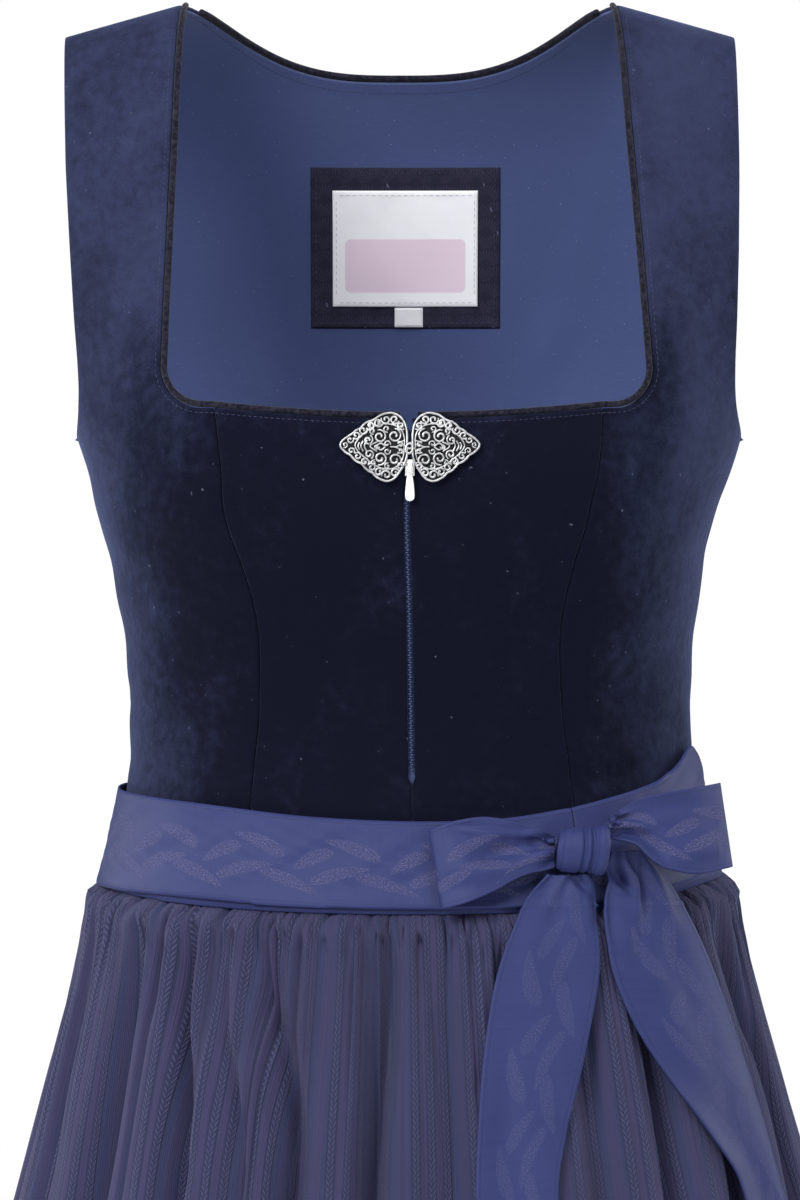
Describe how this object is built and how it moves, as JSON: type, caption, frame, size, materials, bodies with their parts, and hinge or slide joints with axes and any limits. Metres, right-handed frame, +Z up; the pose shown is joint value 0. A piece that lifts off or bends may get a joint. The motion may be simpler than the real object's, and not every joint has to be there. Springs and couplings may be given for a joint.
{
  "type": "dirndl dress with gathered apron",
  "caption": "Sleeveless dirndl with a square-necked velvet bodice, filigree clasp, gathered skirt and a tied satin-banded apron.",
  "frame": {"origin": "between the shoulders, at the height where the straps rest on them", "axes": "+Z up, the dress's front faces -Y, the wearer's left side is +X"},
  "size_m": [0.6256, 0.5504, 1.0379],
  "materials": {
    "velvet": "deep blue cotton velvet, short pile with a soft sheen",
    "lining": "plain blue woven cotton",
    "satin": "indigo satin with tone-on-tone woven leaves",
    "apron_cloth": "dusty indigo cloth with woven stripes and plaited braid stripes",
    "skirt_cloth": "plain dark blue woven cotton",
    "silver": "antique silver-coloured metal with dark recesses",
    "zip_metal": "bright silver-coloured metal",
    "zip_coil": "dark blue nylon coil on woven tape",
    "label_dark": "dark printed cotton",
    "label_light": "white woven satin label"
  },
  "bodies": {
    "dress": {"bodice_front_centre_right": "velvet", "bodice_front_centre_left": "velvet", "bodice_front_side_right": "velvet", "bodice_front_side_left": "velvet", "bodice_back": "velvet", "lining_back": "lining", "neck_piping_right": "velvet", "neck_piping_left": "velvet", "neck_piping_back": "velvet", "skirt_front": "skirt_cloth", "skirt_back": "skirt_cloth", "apron": "apron_cloth", "apron_waistband": "satin", "sash_front": "satin", "sash_back": "satin", "bow_loop_right": "satin", "bow_loop_left": "satin", "bow_knot": "satin", "bow_tail_right": "satin", "bow_tail_left": "satin", "zip_chain": "zip_coil", "zip_slider": "zip_metal", "clasp_right": "silver", "clasp_left": "silver", "clasp_hook": "silver", "label_patch": "label_dark", "label_white": "label_light", "size_tab": "label_light"},
    "pull_tab": {"zip_pull_tab": "zip_metal"}
  },
  "joints": [
    {"name": "pull_tab_hinge", "type": "hinge", "parent": "dress", "child": "pull_tab", "pos_m": [0.0024, -0.11335, -0.2035], "axis": [-1, 0, 0], "range_deg": [0, 90]}
  ]
}
